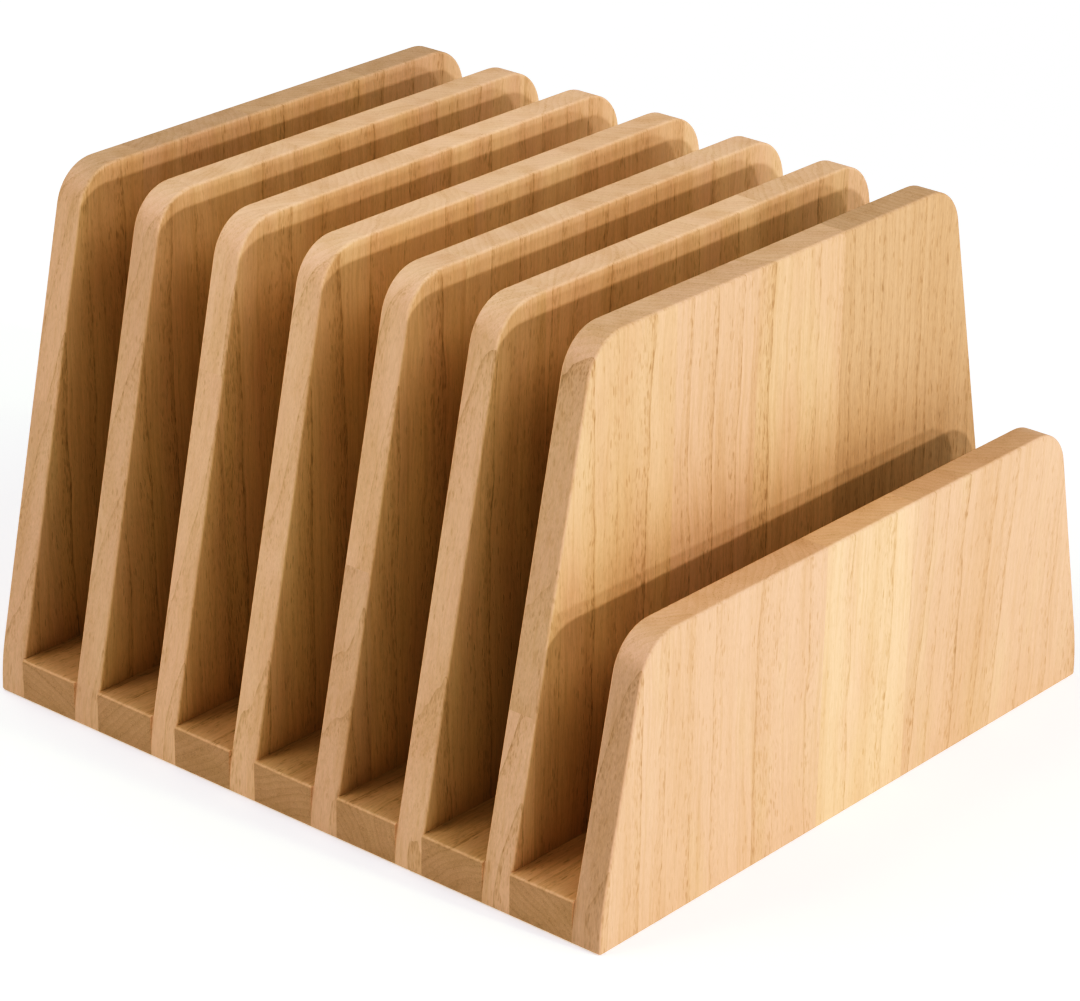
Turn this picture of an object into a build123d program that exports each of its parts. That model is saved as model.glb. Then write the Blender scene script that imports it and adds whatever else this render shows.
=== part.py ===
"""Desktop file sorter of solid hardwood, standing on a desk.

Eight boards stand upright in a row: one short front board, six tall dividers and a tall back
board. Seven spacer blocks are glued between their feet, and the slots above the spacers hold
folders and papers. Two dowel rods run through the feet and keep the stack in line while it is
glued. Nothing moves.

Frame: millimetres, +X to the right, +Y to the back, +Z up. The origin is on the desk, under the
middle of the sorter.
"""

import os
from math import radians, tan

from build123d import *

# Driving dimensions
BASE_WIDTH = 250.0
BOARD_THICKNESS = 11.0
SLOT_WIDTH = 24.5
TALL_HEIGHT = 176.0
FRONT_HEIGHT = 97.0
SPACER_HEIGHT = 14.5
SLOT_COUNT = 7

# Outline of a board: plumb foot, long soft bend, leaning sides, round shoulders
FOOT_HEIGHT = 10.2
SIDE_LEAN_DEG = 12.0
SHOULDER_RADIUS = 16.0
FOOT_BEND_RADIUS = 85.0
FOOT_CORNER_RADIUS = 1.1

# Sanded edges
BOARD_EDGE_RADIUS = 1.0
SPACER_EDGE_RADIUS = 1.0

# Hidden dowel rods
DOWEL_RADIUS = 3.0
BORE_RADIUS = 3.05
DOWEL_BITE = 6.0
DOWEL_END_GAP = 0.5
DOWEL_OFFSET_X = 80.0
DOWEL_HEIGHT = SPACER_HEIGHT / 2
DOWEL_CHAMFER = 0.8

# Derived places along Y
PITCH = BOARD_THICKNESS + SLOT_WIDTH
DEPTH = SLOT_COUNT * PITCH + BOARD_THICKNESS
FRONT_Y = -DEPTH / 2
DOWEL_REACH = DEPTH / 2 - BOARD_THICKNESS + DOWEL_BITE
BORE_REACH = DOWEL_REACH + DOWEL_END_GAP


def upright_plane(y):
    """The XZ plane at depth y. Extruding from it by a positive amount goes to the front."""
    return Plane.XZ.offset(-y)


def board_outline(height):
    """Face of a board of the given height, seen from the front."""
    half_foot = BASE_WIDTH / 2
    half_top = half_foot - (height - FOOT_HEIGHT) * tan(radians(SIDE_LEAN_DEG))
    with BuildSketch() as outline:
        with BuildLine():
            Polyline(
                (-half_foot, 0),
                (half_foot, 0),
                (half_foot, FOOT_HEIGHT),
                (half_top, height),
                (-half_top, height),
                (-half_foot, FOOT_HEIGHT),
                close=True,
            )
        make_face()
        fillet(outline.vertices().group_by(Axis.Y)[-1], SHOULDER_RADIUS)
        fillet(outline.vertices().group_by(Axis.Y)[1], FOOT_BEND_RADIUS)
        fillet(outline.vertices().group_by(Axis.Y)[0], FOOT_CORNER_RADIUS)
    return outline.sketch


def spacer_outline():
    """End view of a spacer block along Y: a long bar with softened ends."""
    with BuildSketch() as outline:
        Rectangle(BASE_WIDTH, SPACER_HEIGHT, align=(Align.CENTER, Align.MIN))
        fillet(outline.vertices().group_by(Axis.Y)[-1], SPACER_EDGE_RADIUS)
        fillet(outline.vertices().group_by(Axis.Y)[0], FOOT_CORNER_RADIUS)
    return outline.sketch


def dowel_pair(radius, reach):
    """Two round bars side by side along Y, each reaching the same way from the middle."""
    with BuildPart() as pair:
        with BuildSketch(upright_plane(reach)):
            with Locations((-DOWEL_OFFSET_X, DOWEL_HEIGHT), (DOWEL_OFFSET_X, DOWEL_HEIGHT)):
                Circle(radius)
        extrude(amount=2 * reach)
    return pair.part


def make_board(name, place, height, glued_front=True, glued_back=True):
    """One upright board with eased edges. Its glued faces stay square next to the spacers."""
    front_y = FRONT_Y + place * PITCH
    back_y = front_y + BOARD_THICKNESS
    half_thickness = BOARD_THICKNESS / 2
    square_back_y = back_y if glued_back else back_y - half_thickness
    square_front_y = front_y if glued_front else front_y + half_thickness
    with BuildPart() as board:
        with BuildSketch(upright_plane(back_y)):
            add(board_outline(height))
        extrude(amount=BOARD_THICKNESS)
        fillet(board.faces().filter_by(Axis.Y).edges(), BOARD_EDGE_RADIUS)
        with BuildSketch(upright_plane(square_back_y)):
            add(board_outline(height))
            Rectangle(
                BASE_WIDTH,
                SPACER_HEIGHT,
                align=(Align.CENTER, Align.MIN),
                mode=Mode.INTERSECT,
            )
        extrude(amount=square_back_y - square_front_y)
        add(dowel_pair(BORE_RADIUS, BORE_REACH), mode=Mode.SUBTRACT)
    save(board.part, name)


def make_spacer(name, place):
    """One spacer block, glued between the feet of two boards."""
    back_y = FRONT_Y + place * PITCH
    with BuildPart() as spacer:
        with BuildSketch(upright_plane(back_y)):
            add(spacer_outline())
        extrude(amount=SLOT_WIDTH)
        add(dowel_pair(BORE_RADIUS, BORE_REACH), mode=Mode.SUBTRACT)
    save(spacer.part, name)


def make_dowel_rods(name):
    """Both dowel rods, which end blind inside the front board and the back board."""
    with BuildPart() as dowels:
        add(dowel_pair(DOWEL_RADIUS, DOWEL_REACH))
        chamfer(dowels.faces().filter_by(Axis.Y).edges(), DOWEL_CHAMFER)
    save(dowels.part, name)


def save(piece, name):
    """Labels a finished piece and writes it as the node of that name."""
    piece.label = name
    export_step(piece, f"parts/{name}.step")
    print(name, round(piece.volume / 1000, 2), "cm3")


os.makedirs("parts", exist_ok=True)

make_board("front_board", 0, FRONT_HEIGHT, glued_front=False)
for number in range(1, SLOT_COUNT):
    make_board(f"divider_{number}", number, TALL_HEIGHT)
make_board("back_board", SLOT_COUNT, TALL_HEIGHT, glued_back=False)

for number in range(1, SLOT_COUNT + 1):
    make_spacer(f"spacer_{number}", number)

make_dowel_rods("dowel_rods")
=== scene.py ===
"""Looks of the desktop file sorter: solid wood with grain, pores and glued staves, a pale floor and
studio lamps. Metres, in the row frame: +X right, +Y back, +Z up. The wood is made in millimetres."""

from math import cos, radians, sin
from typing import NamedTuple

import bpy
from mathutils import Matrix, Vector


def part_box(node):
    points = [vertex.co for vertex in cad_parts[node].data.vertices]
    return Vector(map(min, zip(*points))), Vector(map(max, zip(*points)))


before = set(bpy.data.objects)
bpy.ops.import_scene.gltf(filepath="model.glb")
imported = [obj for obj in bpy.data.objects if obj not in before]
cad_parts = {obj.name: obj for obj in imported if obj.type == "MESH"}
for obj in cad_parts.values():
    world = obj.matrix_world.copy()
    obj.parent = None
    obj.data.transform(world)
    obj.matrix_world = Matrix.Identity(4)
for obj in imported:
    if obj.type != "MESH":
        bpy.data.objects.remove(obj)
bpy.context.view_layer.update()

MM = 0.001

# Camera: where it stands around the object (in degrees and metres), the point it looks at, and the
# lens and sensor in millimetres
CAMERA_AZIMUTH = -49.66
CAMERA_ELEVATION = 24.19
CAMERA_ROLL = 0.81
CAMERA_DISTANCE = 1.304
CAMERA_AIM = Vector((-10.5, -6.8, 72.2)) * MM
CAMERA_LENS = 133.7
CAMERA_SENSOR = 36.0

# Light of the room, which looks brighter than it lights, colour of the two small lamps, and the
# middle of the sorter, which every lamp points at
ROOM_LIGHT = 0.375
ROOM_LOOK = 1.1
ROOM_COLOR = (0.985, 1.0, 0.985)
KEY_COLOR = (1.0, 0.975, 0.985)
LAMP_AIM = (0, 0, 0.09)

# The film curve: its shoulder, the contrast and balance of its red, green and blue layers, and the
# brightnesses that it is drawn through
FILM_SHOULDER = 0.43
FILM_CONTRAST = (1.98, 1.81, 2.03)
FILM_BALANCE = (1.006, 0.935, 1.055)
FILM_STEPS = (0.05, 0.1, 0.17, 0.25, 0.35, 0.5, 0.65, 0.8)

# Linear colours of the wood
PEACH = (0.700, 0.442, 0.288)
HONEY = (0.735, 0.500, 0.302)
AMBER = (0.680, 0.430, 0.230)
PALE = (0.735, 0.500, 0.345)
ROSY = (0.745, 0.447, 0.330)
RUSSET = (0.730, 0.410, 0.262)
STREAK = (0.500, 0.285, 0.145)
PORE = (0.330, 0.180, 0.085)

# Features of the wood: their sizes in millimetres across, through and along the fibre
SLOW_BEND = (60, 60, 140)
SMALL_BEND = (7, 7, 22)
RING_DRIFT = (26, 26, 600)
RING_BREAK = (0.8, 0.8, 6)
CLOUD = (14, 14, 60)
SHADE = (11, 11, 190)
LONG_STREAK = (1.5, 1.5, 55)
DASH = (0.58, 0.58, 3.4)
FIBRE = (0.36, 0.36, 12)
GRIT = (0.42, 0.42, 1.9)
LARGE_PORE = (0.90, 0.90, 4.6)
SMALL_PORE = (0.50, 0.50, 2.6)
SLOW_BEND_WIDTH = 11.0
SMALL_BEND_WIDTH = 3.0
FINE_RING_PITCH = 2.4

# Growth rings: how far they drift, in rings, how weak the weakest is, how fast the early wood ends,
# and the part of a ring that its dark line takes up
RING_DRIFT_REACH = 1.6
FINE_RING_DRIFT_REACH = 4.0
WEAKEST_RING = 0.35
EARLY_WOOD_FADE = 3.6
RING_LINE_PART = 0.07

# Vessels: how far each reaches from the middle of its cell, as a part of the cell, and which share
# of the cells has one: in early wood, in light and dark wood, and how many more are small
PORE_REACH = 0.42
CROWD_IN_EARLY_WOOD = 0.90
CROWD_ELSEWHERE = (0.01, 0.16)
MORE_SMALL_PORES = 0.12

# The narrow sides and the end grain have calmer marks and colours of their own
SIDE_CALM = 0.4
CALM = 0.6
ROSY_ON_SIDE = 0.50
END_COLOR_ON_END = 0.60

# How strongly each mark darkens the wood
SHADE_MARK = 0.26
STREAK_MARK = 0.44
EARLY_WOOD_MARK = 0.30
DASH_MARK, DASH_MARK_IN_EARLY_WOOD = 0.09, 0.80
FINE_RING_MARK, FINE_RING_MARK_ON_END = 0.05, 0.20
RING_LINE_MARK, RING_LINE_LESS_ON_END = 0.62, 0.35
PORE_MARK, PORE_MARK_BY_FIGURE = 0.06, 0.26
SMALL_PORE_MARK, SMALL_PORE_MARK_BY_FIGURE = 0.04, 0.16
CLOUD_CONTRAST = 2.6
FIBRE_CONTRAST = 0.26
GRIT_CONTRAST = 0.16

# Surface: roughness and what adds to it, the polish of the worn edges, bump and gloss
ROUGHNESS = 0.44
FIBRE_ROUGHNESS = 0.16
PORE_ROUGHNESS = 0.15
END_ROUGHNESS = 0.08
EDGE_POLISH = 0.6
SMALL_PORE_DEPTH = 0.6
FIBRE_DEPTH = 0.5
BUMP_STRENGTH = 0.5
BUMP_DEPTH = 0.12 * MM
WOOD_IOR = 1.46
WOOD_SPECULAR = 0.35

# Where in the noise the first board and spacer begin, and how far on the next one is, or the next
# stave of a board
BOARD_SEED, BOARD_SEED_STEP = 170.0, 310.0
SPACER_SEED, SPACER_SEED_STEP = 4130.0, 230.0
DOWEL_SEED = 7700.0
STAVE_SEED_STEP = 13.0

# Which row axes run across, through and along the fibre
BOARD_AXES = (0, 1, 2)
SPACER_AXES = (1, 2, 0)
DOWEL_AXES = (0, 2, 1)

# Brightness of the spacers' end grain
SPACER_END_BRIGHT = 0.69

# The floor's own colour, and its glow near the sorter and far away, with the two distances
FLOOR_COLOR = (0.88, 0.92, 0.89)
FLOOR_GLOW_COLOR = (0.97, 1.0, 0.95)
FLOOR_GLOW = (0.27, 0.70)
FLOOR_GLOW_REACH = (0.3, 2.2)
FLOOR_SIZE = 12.0

WOOD_INPUTS = (
    "Seed",
    "Tone",
    "Amber",
    "Bright",
    "Slant",
    "Pith Across",
    "Pith Through",
    "Ring Pitch",
    "Figure",
    "End Grain",
    "Side",
    "Edge Highlight And Polish",
)


class Stave(NamedTuple):
    """One strip of a glued-up board: its left edge, colour, lean of the fibre, width of the growth
    rings, and pith (across from the left edge, and through the board). Lengths in millimetres."""

    left: float
    tone: float
    amber: float
    bright: float
    slant: float
    ring_pitch: float
    pith: tuple


class Board(NamedTuple):
    """How strong a board's figure is, how bright it is, by how much its end grain and its narrow
    sides differ from that (partly their own tone, partly painted light and shade from how the lamps
    fall on them), and its staves from the left."""

    figure: float
    bright: float
    on_end: float
    side_tone_and_painted_shade: float
    staves: list


class Tree:
    """Adds nodes to one node tree. Every input may be a socket, a number or a vector."""

    def __init__(self, tree):
        self.tree = tree

    def node(self, kind, inputs=None, **settings):
        made = self.tree.nodes.new(kind)
        for name, value in settings.items():
            setattr(made, name, value)
        for key, value in (inputs or {}).items():
            self.feed(made.inputs[key], value)
        return made

    def feed(self, socket, value):
        if isinstance(value, bpy.types.NodeSocket):
            self.tree.links.new(value, socket)
        elif socket.type == "RGBA" and len(value) == 3:
            socket.default_value = (*value, 1.0)
        else:
            socket.default_value = value

    def math(self, operation, first, second=0.0, third=0.0, clamp=False):
        inputs = {0: first, 1: second, 2: third}
        return self.node("ShaderNodeMath", inputs, operation=operation, use_clamp=clamp).outputs[0]

    def scaled(self, vector, scale):
        inputs = {0: vector, 1: scale}
        return self.node("ShaderNodeVectorMath", inputs, operation="MULTIPLY").outputs[0]

    def moved(self, vector, offset):
        inputs = {0: vector, 1: offset}
        return self.node("ShaderNodeVectorMath", inputs, operation="ADD").outputs[0]

    def split(self, vector):
        return self.node("ShaderNodeSeparateXYZ", {0: vector}).outputs

    def joined(self, x, y, z):
        return self.node("ShaderNodeCombineXYZ", {0: x, 1: y, 2: z}).outputs[0]

    def noise(self, place, size, detail=2.0, roughness=0.5):
        """Noise whose features are as large as size, in millimetres along each axis."""
        vector = self.scaled(place, [1 / side for side in size])
        inputs = {"Vector": vector, "Scale": 1.0, "Detail": detail, "Roughness": roughness}
        return self.node("ShaderNodeTexNoise", inputs).outputs["Fac"]

    def pores(self, place, cell, crowd):
        """1 inside thin hollows. A share crowd of the cells has one."""
        vector = self.scaled(place, [1 / side for side in cell])
        cells = self.node("ShaderNodeTexVoronoi", {"Vector": vector, "Scale": 1.0}).outputs
        draw = self.node("ShaderNodeSeparateColor", {0: cells["Color"]}).outputs[0]
        inner, outer = PORE_REACH * 0.55, PORE_REACH
        shape = self.ranged(cells["Distance"], inner, outer, 1.0, 0.0, smooth=True)
        return self.math("MULTIPLY", shape, self.math("LESS_THAN", draw, crowd))

    def ranged(self, value, low, high, to_low=0.0, to_high=1.0, smooth=False):
        kind = "SMOOTHSTEP" if smooth else "LINEAR"
        inputs = {0: value, 1: low, 2: high, 3: to_low, 4: to_high}
        return self.node("ShaderNodeMapRange", inputs, interpolation_type=kind).outputs[0]

    def mixed(self, factor, first, second):
        inputs = {0: factor, 6: first, 7: second}
        return self.node("ShaderNodeMix", inputs, data_type="RGBA").outputs[2]


def wandering_fibre(t, given):
    """Across, through, and the whole place (across, moved by the seed, along), where the fibre
    leans and wanders in slow bends and in small ones."""
    across, through, along = t.split(given["Position"])
    across = t.math("SUBTRACT", across, t.math("MULTIPLY", along, given["Slant"]))
    deep = t.math("ADD", through, given["Seed"])
    straight = t.joined(across, deep, along)
    slow_bends = t.noise(straight, SLOW_BEND, detail=1.0)
    small_bends = t.noise(straight, SMALL_BEND, detail=2.0)
    for bends, width in ((slow_bends, SLOW_BEND_WIDTH), (small_bends, SMALL_BEND_WIDTH)):
        across = t.math("MULTIPLY_ADD", t.math("SUBTRACT", bends, 0.5), width, across)
    return across, through, t.joined(across, deep, along)


def growth_rings(t, given, across, through, place):
    """Rings round the pith, uneven in width and in strength: the open early wood of each ring, the
    broken dark line where it begins, and fine rings between."""
    from_pith = t.joined(
        t.math("SUBTRACT", across, given["Pith Across"]),
        t.math("SUBTRACT", through, given["Pith Through"]),
        0.0,
    )
    radius = t.node("ShaderNodeVectorMath", {0: from_pith}, operation="LENGTH").outputs["Value"]
    drift = t.noise(place, RING_DRIFT, detail=1.0)
    rings = t.math("DIVIDE", radius, given["Ring Pitch"])
    rings = t.math("MULTIPLY_ADD", drift, RING_DRIFT_REACH, rings)
    phase = t.math("FRACT", rings)
    chance = t.node(
        "ShaderNodeTexWhiteNoise", {"W": t.math("FLOOR", rings)}, noise_dimensions="1D"
    ).outputs["Value"]
    strength = t.ranged(chance, 0.0, 1.0, WEAKEST_RING, 1.0)
    early_wood = t.math("POWER", t.math("SUBTRACT", 1.0, phase), EARLY_WOOD_FADE)
    early_wood = t.math("MULTIPLY", early_wood, strength)
    broken = t.ranged(t.noise(place, RING_BREAK, detail=2.0), 0.34, 0.58)
    line = t.ranged(phase, 0.0, RING_LINE_PART, 1.0, 0.0, smooth=True)
    line = t.math("MULTIPLY", t.math("MULTIPLY", line, broken), strength)
    fine = t.math("DIVIDE", radius, FINE_RING_PITCH)
    fine = t.math("MULTIPLY_ADD", drift, FINE_RING_DRIFT_REACH, fine)
    fine_rings = t.math("POWER", t.math("FRACT", fine), 2.0)
    return early_wood, line, fine_rings


def vessels(t, place, early_wood, shades):
    """Long thin hollows, large and small, crowded where a ring begins."""
    crowd = t.ranged(shades, 0.42, 0.66, *CROWD_ELSEWHERE)
    crowd = t.math("MULTIPLY_ADD", early_wood, CROWD_IN_EARLY_WOOD, crowd)
    large = t.pores(place, LARGE_PORE, crowd)
    small = t.pores(place, SMALL_PORE, t.math("ADD", crowd, MORE_SMALL_PORES))
    return large, small


def wood_group():
    """Solid wood as a node group. Position is (across, through, along the fibre), in millimetres."""
    group = bpy.data.node_groups.new("solid_wood", "ShaderNodeTree")
    face = group.interface
    face.new_socket("Position", in_out="INPUT", socket_type="NodeSocketVector")
    for name in WOOD_INPUTS:
        face.new_socket(name, in_out="INPUT", socket_type="NodeSocketFloat")
    face.new_socket("End Color", in_out="INPUT", socket_type="NodeSocketColor")
    face.new_socket("Color", in_out="OUTPUT", socket_type="NodeSocketColor")
    face.new_socket("Roughness", in_out="OUTPUT", socket_type="NodeSocketFloat")
    face.new_socket("Height", in_out="OUTPUT", socket_type="NodeSocketFloat")
    t = Tree(group)
    given = t.node("NodeGroupInput").outputs
    across, through, place = wandering_fibre(t, given)
    early_wood, line, fine_rings = growth_rings(t, given, across, through, place)
    shades = t.noise(place, SHADE, detail=1.0)
    fibres = t.noise(place, FIBRE, detail=2.0, roughness=0.6)
    pore, small_pore = vessels(t, place, early_wood, shades)

    # Colour of the clean wood: peach to honey in clouds, with its own on the sides and end grain
    on_end = given["End Grain"]
    clouds = t.math("SUBTRACT", t.noise(place, CLOUD, detail=2.0), 0.5)
    tone = t.math("MULTIPLY_ADD", clouds, CLOUD_CONTRAST, given["Tone"], clamp=True)
    colour = t.mixed(tone, PEACH, HONEY)
    colour = t.mixed(given["Amber"], colour, AMBER)
    end_mix = t.math("MULTIPLY", on_end, END_COLOR_ON_END)
    colour = t.mixed(end_mix, colour, given["End Color"])
    colour = t.mixed(t.math("MULTIPLY", given["Side"], ROSY_ON_SIDE), colour, ROSY)

    # Marks: shades, streaks, dashes, ring lines and vessels, calmer on the sides and end grain
    smooth = t.math("MAXIMUM", on_end, t.math("MULTIPLY", given["Side"], SIDE_CALM))
    figure = t.math("MULTIPLY", t.math("MULTIPLY_ADD", smooth, -CALM, 1.0), given["Figure"])
    colour = t.mixed(t.ranged(shades, 0.46, 0.72, 0.0, SHADE_MARK), colour, STREAK)
    streaks = t.noise(place, LONG_STREAK, detail=2.0, roughness=0.6)
    streak_mix = t.math("MULTIPLY", t.ranged(streaks, 0.48, 0.74, 0.0, STREAK_MARK), figure)
    colour = t.mixed(streak_mix, colour, STREAK)
    early_mix = t.math("MULTIPLY", early_wood, t.math("MULTIPLY", figure, EARLY_WOOD_MARK))
    colour = t.mixed(early_mix, colour, STREAK)
    clustered = t.math("MULTIPLY_ADD", early_wood, DASH_MARK_IN_EARLY_WOOD, DASH_MARK)
    dashes = t.ranged(t.noise(place, DASH, detail=1.0), 0.55, 0.72)
    dash_mix = t.math("MULTIPLY", dashes, t.math("MULTIPLY", clustered, figure))
    colour = t.mixed(dash_mix, colour, PORE)
    ring_mix = t.math("MULTIPLY", given["Figure"], FINE_RING_MARK_ON_END)
    ring_mix = t.math("MULTIPLY_ADD", on_end, ring_mix, FINE_RING_MARK)
    colour = t.mixed(t.math("MULTIPLY", fine_rings, ring_mix), colour, STREAK)
    line_mix = t.math("MULTIPLY_ADD", on_end, -RING_LINE_LESS_ON_END, RING_LINE_MARK)
    line_mix = t.math("MULTIPLY", figure, line_mix)
    colour = t.mixed(t.math("MULTIPLY", line, line_mix), colour, PORE)
    pore_mix = t.math("MULTIPLY_ADD", figure, PORE_MARK_BY_FIGURE, PORE_MARK)
    colour = t.mixed(t.math("MULTIPLY", pore, pore_mix), colour, PORE)
    small_mix = t.math("MULTIPLY_ADD", figure, SMALL_PORE_MARK_BY_FIGURE, SMALL_PORE_MARK)
    colour = t.mixed(t.math("MULTIPLY", small_pore, small_mix), colour, PORE)

    # Light and dark of the fibres, and a painted highlight on the rounded edges
    fibre_light = t.math("SUBTRACT", fibres, 0.5)
    grit_light = t.math("SUBTRACT", t.noise(place, GRIT, detail=2.0), 0.5)
    light = t.math("MULTIPLY_ADD", fibre_light, FIBRE_CONTRAST, given["Bright"])
    light = t.math("MULTIPLY_ADD", grit_light, GRIT_CONTRAST, light)
    # Painted highlight: the rounded edges are made lighter in colour, as where they catch the lamps
    light = t.math("ADD", given["Edge Highlight And Polish"], light)
    shade = t.joined(light, light, light)
    colour = t.node("ShaderNodeVectorMath", {0: colour, 1: shade}, operation="MULTIPLY")

    # Surface: hollow vessels, rougher there and on the end grain, polished at the worn edges
    rough = t.math("MULTIPLY_ADD", fibres, FIBRE_ROUGHNESS, ROUGHNESS)
    rough = t.math("MULTIPLY_ADD", pore, PORE_ROUGHNESS, rough)
    rough = t.math("MULTIPLY_ADD", on_end, END_ROUGHNESS, rough)
    rough = t.math("MULTIPLY_ADD", given["Edge Highlight And Polish"], -EDGE_POLISH, rough)
    hollow = t.math("MAXIMUM", pore, t.math("MULTIPLY", small_pore, SMALL_PORE_DEPTH))
    height = t.math("MULTIPLY_ADD", hollow, -1.0, t.math("MULTIPLY", fibres, FIBRE_DEPTH))
    result = t.node("NodeGroupOutput")
    t.feed(result.inputs["Color"], colour.outputs[0])
    t.feed(result.inputs["Roughness"], rough)
    t.feed(result.inputs["Height"], height)
    return group


def stave_values(t, local, staves, seed, bright):
    """What the wood group is given for each stave, chosen by how far to the right a point is."""
    values = {}
    for number, stave in enumerate(staves):
        own = {
            "Tone": stave.tone,
            "Amber": stave.amber,
            "Bright": stave.bright * bright,
            "Slant": stave.slant,
            "Ring Pitch": stave.ring_pitch,
            "Pith Across": stave.left + stave.pith[0],
            "Pith Through": stave.pith[1],
            "Seed": seed + STAVE_SEED_STEP * number,
        }
        if number == 0:
            values = own
            continue
        beyond = t.math("GREATER_THAN", local[0], stave.left)
        for key, value in own.items():
            inputs = {0: beyond, 2: values[key], 3: value}
            values[key] = t.node("ShaderNodeMix", inputs, data_type="FLOAT").outputs[0]
    return values


def wood_material(
    name, group, centre, axes, seed, staves,
    figure=1.0, bright=1.0, on_end=0.0, side_tone_and_painted_shade=0.0, edge_highlight_and_polish=0.05, end_colour=PALE,
):
    """Wood for one piece, with its fibre along the last of the three row axes. on_end and the side
    setting make the end grain and the narrow sides lighter or darker: partly their own tone, partly
    painted light and shade. The edge setting paints a highlight on the rounded edges and also makes
    them less rough."""
    material = bpy.data.materials.new(name)
    material.use_nodes = True
    t = Tree(material.node_tree)
    t.tree.nodes.clear()
    place = t.node("ShaderNodeTexCoord").outputs["Object"]
    local = t.split(t.scaled(t.moved(place, -centre), (1 / MM, 1 / MM, 1 / MM)))
    normal = t.split(t.node("ShaderNodeNewGeometry").outputs["Normal"])
    facing = [t.math("ABSOLUTE", normal[axis]) for axis in axes]
    end_grain = t.ranged(facing[2], 0.25, 0.95)
    side = t.ranged(facing[0], 0.80, 0.97)
    strongest = t.math("MAXIMUM", t.math("MAXIMUM", facing[0], facing[1]), facing[2])
    values = stave_values(t, local, staves, seed, bright)
    # Painted light and shade mixed with tone: the end grain and the narrow sides are set lighter or
    # darker per piece, as the lamps light them
    for faced, lighter in ((end_grain, on_end), (side, side_tone_and_painted_shade)):
        values["Bright"] = t.math("MULTIPLY_ADD", faced, lighter, values["Bright"])
    values |= {
        "Position": t.joined(*(local[axis] for axis in axes)),
        "Figure": figure,
        "End Grain": end_grain,
        "End Color": end_colour,
        "Side": t.ranged(facing[0], 0.35, 0.80),
        # Painted highlight on the rounded edges, as where they catch the lamps; the same mask also
        # lowers the roughness there
        "Edge Highlight And Polish": t.ranged(strongest, 0.98, 0.80, 0.0, edge_highlight_and_polish),
    }
    wood = t.node("ShaderNodeGroup", node_tree=group)
    for key, value in values.items():
        t.feed(wood.inputs[key], value)
    bump = t.node(
        "ShaderNodeBump",
        {"Height": wood.outputs["Height"], "Strength": BUMP_STRENGTH, "Distance": BUMP_DEPTH},
    )
    shader = t.node(
        "ShaderNodeBsdfPrincipled",
        {
            "Base Color": wood.outputs["Color"],
            "Roughness": wood.outputs["Roughness"],
            "Normal": bump.outputs[0],
            "IOR": WOOD_IOR,
            "Specular IOR Level": WOOD_SPECULAR,
        },
    )
    t.node("ShaderNodeOutputMaterial", {0: shader.outputs[0]})
    return material


def use_material(node, material):
    """Gives a CAD node its finished material."""
    node.data.materials.clear()
    node.data.materials.append(material)


def centre_of(name):
    low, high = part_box(name)
    return (low + high) / 2


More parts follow.
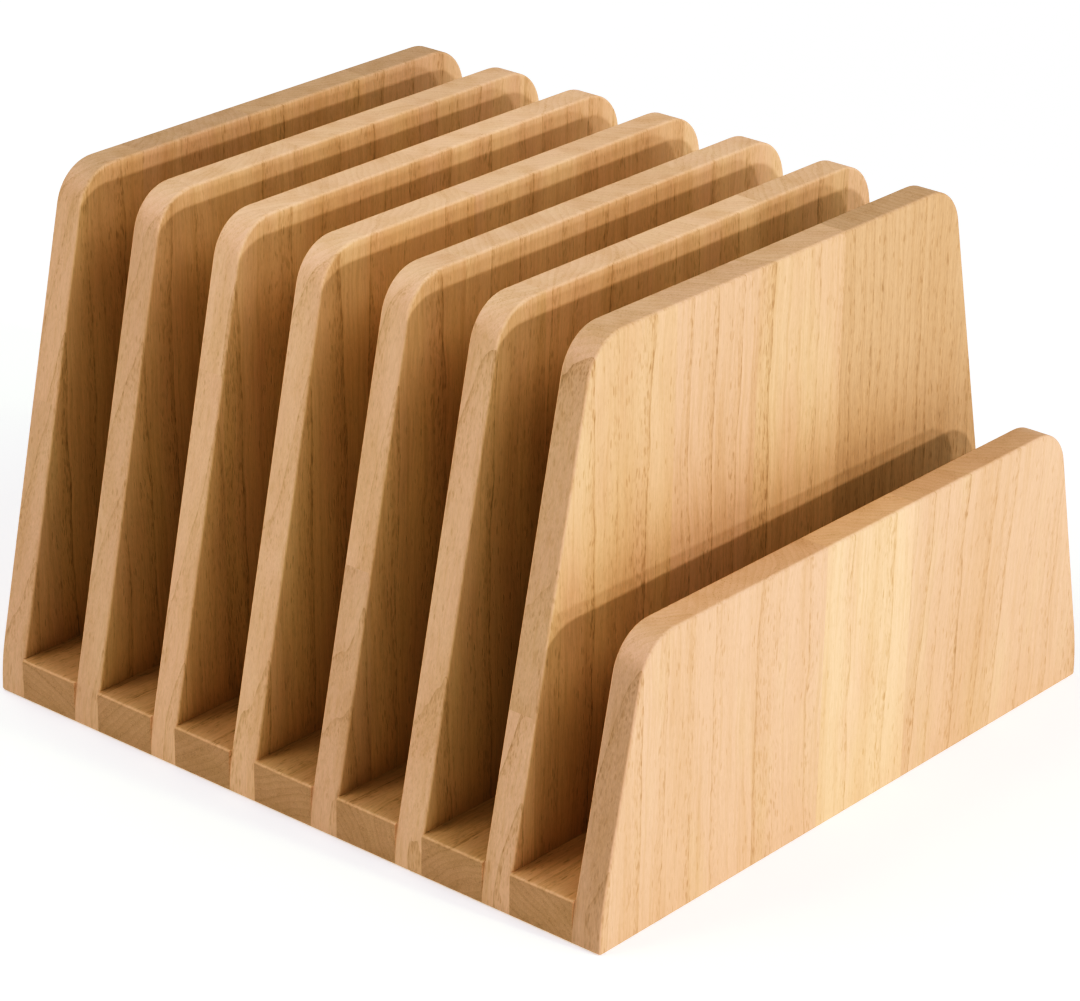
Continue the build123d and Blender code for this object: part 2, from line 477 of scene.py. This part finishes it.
def dress_boards(group):
    """The boards, each glued up from staves."""
    # The two numbers before the staves are partly painted light and shade: the front board's narrow
    # sides are darkened, the dividers' tops lightened
    boards = {
        "front_board": Board(0.72, 0.98, 0.01, -0.145, [
            Stave(-125, -0.30, 0.05, 0.98, 0.01, 9, (110, 80)),
            Stave(-84, -0.10, 0.00, 0.98, 0.00, 15, (-60, 95)),
            Stave(-20, 0.90, 0.12, 1.04, 0.00, 14, (90, 60)),
            Stave(25, 0.00, 0.08, 0.96, 0.08, 9, (130, 70)),
        ]),
        "divider_1": Board(0.95, 0.95, -0.03, -0.07, [
            Stave(-125, 0.35, 0.00, 1.07, 0.00, 8, (40, 30)),
            Stave(-114, 0.45, 0.33, 0.985, 0.01, 12, (215, 100)),
            Stave(-52, -0.25, 0.12, 0.97, 0.01, 12, (153, 100)),
            Stave(-12, 0.40, 0.33, 0.975, 0.01, 12, (113, 100)),
            Stave(31, -0.60, 0.60, 0.84, 0.01, 5, (160, 20)),
        ]),
        "divider_2": Board(0.80, 0.985, 0.07, 0.00, [
            Stave(-125, 0.65, 0.10, 0.98, 0.00, 12, (90, 60)),
            Stave(-70, 0.20, 0.30, 1.00, 0.02, 8, (-50, 80)),
            Stave(-20, 0.75, 0.10, 1.02, 0.00, 13, (100, 50)),
            Stave(34, 0.30, 0.45, 0.94, 0.00, 7, (-40, 60)),
            Stave(80, 0.20, 0.10, 0.98, 0.00, 12, (90, 90)),
        ]),
        "divider_3": Board(0.72, 0.985, 0.06, 0.00, [
            Stave(-125, 0.05, 0.10, 0.92, 0.00, 6, (55, 22)),
            Stave(-109, 0.65, 0.15, 1.00, 0.00, 11, (64, 90)),
            Stave(-66, 0.60, 0.05, 1.00, 0.00, 14, (-70, 80)),
            Stave(-10, 0.30, 0.40, 0.96, 0.03, 8, (100, 60)),
            Stave(40, 0.60, 0.10, 1.00, 0.00, 12, (-40, 90)),
        ]),
        "divider_4": Board(0.70, 1.005, 0.07, 0.00, [
            Stave(-125, 0.80, 0.10, 1.00, 0.00, 13, (100, 70)),
            Stave(-72, 0.50, 0.35, 1.02, 0.00, 9, (-50, 90)),
            Stave(-22, 0.65, 0.00, 1.00, 0.00, 14, (120, 90)),
            Stave(28, 0.25, 0.40, 0.96, 0.00, 10, (80, 40)),
            Stave(84, 0.60, 0.10, 1.00, 0.00, 12, (-30, 90)),
        ]),
        "divider_5": Board(0.72, 1.00, 0.10, 0.02, [
            Stave(-125, 0.45, 0.25, 0.97, 0.00, 9, (60, 60)),
            Stave(-100, 0.70, 0.00, 1.00, 0.00, 14, (65, 90)),
            Stave(-58, 0.35, 0.40, 0.97, 0.00, 10, (-60, 60)),
            Stave(-8, 0.55, 0.10, 1.02, 0.02, 13, (110, 80)),
            Stave(52, 0.35, 0.30, 0.98, 0.00, 8, (-50, 80)),
        ]),
        "divider_6": Board(0.72, 0.975, 0.07, -0.05, [
            Stave(-125, 0.50, 0.20, 0.97, 0.00, 10, (100, 50)),
            Stave(-76, 0.75, 0.05, 1.00, 0.00, 13, (-40, 90)),
            Stave(-26, 0.55, 0.30, 1.00, 0.00, 11, (90, 80)),
            Stave(30, 0.60, 0.10, 0.96, 0.00, 9, (120, 60)),
            Stave(82, 0.30, 0.20, 1.00, 0.00, 12, (-60, 70)),
        ]),
        "back_board": Board(0.75, 0.95, -0.15, -0.02, [
            Stave(-125, 0.20, 0.10, 0.96, 0.00, 10, (70, 50)),
            Stave(-106, 0.40, 0.30, 1.00, 0.00, 6, (61, 60)),
            Stave(-64, 0.15, 0.10, 0.94, 0.00, 12, (-60, 90)),
            Stave(-14, 0.30, 0.30, 0.98, 0.00, 9, (100, 90)),
            Stave(42, 0.20, 0.10, 0.94, 0.00, 12, (90, 50)),
        ]),
    }
    for number, (name, board) in enumerate(boards.items()):
        centre = centre_of(name) * Vector((0, 1, 0))
        seed = BOARD_SEED + BOARD_SEED_STEP * number
        material = wood_material(
            f"{name}_wood", group, centre, BOARD_AXES, seed, board.staves,
            figure=board.figure, bright=board.bright, on_end=board.on_end, side_tone_and_painted_shade=board.side_tone_and_painted_shade,
        )
        use_material(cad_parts[name], material)


def dress_spacers(group):
    """The spacers, from the front: how bright each is, and where its pith is."""
    spacers = [
        (1.09, (40, -60)),
        (0.99, (-30, -48)),
        (0.97, (55, -35)),
        (0.96, (-20, -70)),
        (0.98, (35, 50)),
        (0.95, (-45, -40)),
        (0.97, (25, -55)),
    ]
    for number, (bright, pith) in enumerate(spacers, start=1):
        name = f"spacer_{number}"
        stave = Stave(
            left=0, tone=0.2, amber=0.25, bright=bright, slant=0.0, ring_pitch=7.0, pith=pith
        )
        seed = SPACER_SEED + SPACER_SEED_STEP * number
        # The spacers' rounded edges get a stronger painted highlight
        material = wood_material(
            f"{name}_wood", group, centre_of(name), SPACER_AXES, seed, [stave],
            figure=1.1, on_end=SPACER_END_BRIGHT - bright, edge_highlight_and_polish=0.22, end_colour=RUSSET,
        )
        use_material(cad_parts[name], material)


def dress_dowels(group):
    """The hidden dowel rods."""
    stave = Stave(
        left=0, tone=0.4, amber=0.1, bright=1.0, slant=0.0, ring_pitch=6.0, pith=(20, 30)
    )
    centre = centre_of("dowel_rods")
    material = wood_material("dowel_wood_grain", group, centre, DOWEL_AXES, DOWEL_SEED, [stave])
    use_material(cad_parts["dowel_rods"], material)


def add_floor():
    """A wide pale floor, lit a little from below like a light table, and more so far away."""
    bpy.ops.mesh.primitive_plane_add(size=FLOOR_SIZE, location=(0, 0, 0))
    floor = bpy.context.object
    floor.name = "floor"
    material = bpy.data.materials.new("floor_white")
    material.use_nodes = True
    t = Tree(material.node_tree)
    t.tree.nodes.clear()
    place = t.node("ShaderNodeTexCoord").outputs["Object"]
    reach = t.node("ShaderNodeVectorMath", {0: place}, operation="LENGTH").outputs["Value"]
    glow = t.ranged(reach, *FLOOR_GLOW_REACH, *FLOOR_GLOW, smooth=True)
    shader = t.node(
        "ShaderNodeBsdfPrincipled",
        {
            "Base Color": FLOOR_COLOR,
            "Roughness": 0.9,
            "Specular IOR Level": 0.1,
            "Emission Color": FLOOR_GLOW_COLOR,
            "Emission Strength": glow,
        },
    )
    t.node("ShaderNodeOutputMaterial", {0: shader.outputs[0]})
    floor.data.materials.append(material)


def add_lamp(name, azimuth, elevation, distance, size, power, colour=(1, 1, 1)):
    """A round soft lamp that stands around the sorter: azimuth 0 is in front, 90 to the right."""
    a, e = radians(azimuth), radians(elevation)
    away = Vector((sin(a) * cos(e), -cos(a) * cos(e), sin(e)))
    data = bpy.data.lights.new(name, "AREA")
    data.shape = "DISK"
    data.size = size
    data.energy = power
    data.color = colour
    lamp = bpy.data.objects.new(name, data)
    lamp.location = Vector(LAMP_AIM) + away * distance
    lamp.rotation_euler = (-away).to_track_quat("-Z", "Y").to_euler()
    bpy.context.scene.collection.objects.link(lamp)


def film_response(light, contrast, balance):
    """How bright the picture is for a given light, both linear: an S-shaped curve like film's."""
    exposed = (light * balance) ** contrast
    return (1 + FILM_SHOULDER) * exposed / (exposed + FILM_SHOULDER)


def expose():
    """Plain display colours, seen through the film curve, whose last point keeps white white."""
    view = bpy.context.scene.view_settings
    view.view_transform = "Standard"
    view.use_curve_mapping = True
    mapping = view.curve_mapping
    for curve, contrast, balance in zip(mapping.curves, FILM_CONTRAST, FILM_BALANCE):
        for light in FILM_STEPS:
            curve.points.new(light, film_response(light, contrast, balance))
    mapping.update()


def light_scene():
    """Two small lamps in front throw the shadow steps; large soft ones and the room fill in."""
    world = bpy.data.worlds.new("studio")
    world.use_nodes = True
    t = Tree(world.node_tree)
    t.tree.nodes.clear()
    seen = t.node("ShaderNodeLightPath").outputs["Is Camera Ray"]
    strength = t.ranged(seen, 0.0, 1.0, ROOM_LIGHT, ROOM_LOOK)
    room = t.node("ShaderNodeBackground", {"Color": ROOM_COLOR, "Strength": strength})
    t.node("ShaderNodeOutputWorld", {0: room.outputs[0]})
    bpy.context.scene.world = world
    small = {"distance": 2.4, "size": 0.12, "colour": KEY_COLOR}
    add_lamp("key_lamp", azimuth=5.0, elevation=16.5, power=16.2, **small)
    add_lamp("side_lamp", azimuth=29.0, elevation=6.6, power=9.8, **small)
    add_lamp("front_lamp", azimuth=10.0, elevation=50.0, distance=1.8, size=0.8, power=7.6)
    add_lamp("left_lamp", azimuth=-120.0, elevation=50.0, distance=1.8, size=0.8, power=7.0)
    add_lamp("back_lamp", azimuth=180.0, elevation=45.0, distance=2.0, size=1.6, power=8.0)


def add_camera():
    """The camera stands in front of the left end, above the sorter."""
    a, e = radians(CAMERA_AZIMUTH), radians(CAMERA_ELEVATION)
    back = Vector((sin(a) * cos(e), -cos(a) * cos(e), sin(e)))
    right = Vector((cos(a), sin(a), 0.0))
    up = back.cross(right)
    data = bpy.data.cameras.new("camera")
    data.lens = CAMERA_LENS
    data.sensor_width = CAMERA_SENSOR
    camera = bpy.data.objects.new("camera", data)
    turn = Matrix((right, up, back)).transposed() @ Matrix.Rotation(radians(CAMERA_ROLL), 3, "Z")
    camera.matrix_world = Matrix.Translation(CAMERA_AIM + back * CAMERA_DISTANCE) @ turn.to_4x4()
    bpy.context.scene.collection.objects.link(camera)
    bpy.context.scene.camera = camera


add_camera()
expose()
light_scene()
add_floor()
solid_wood = wood_group()
dress_boards(solid_wood)
dress_spacers(solid_wood)
dress_dowels(solid_wood)
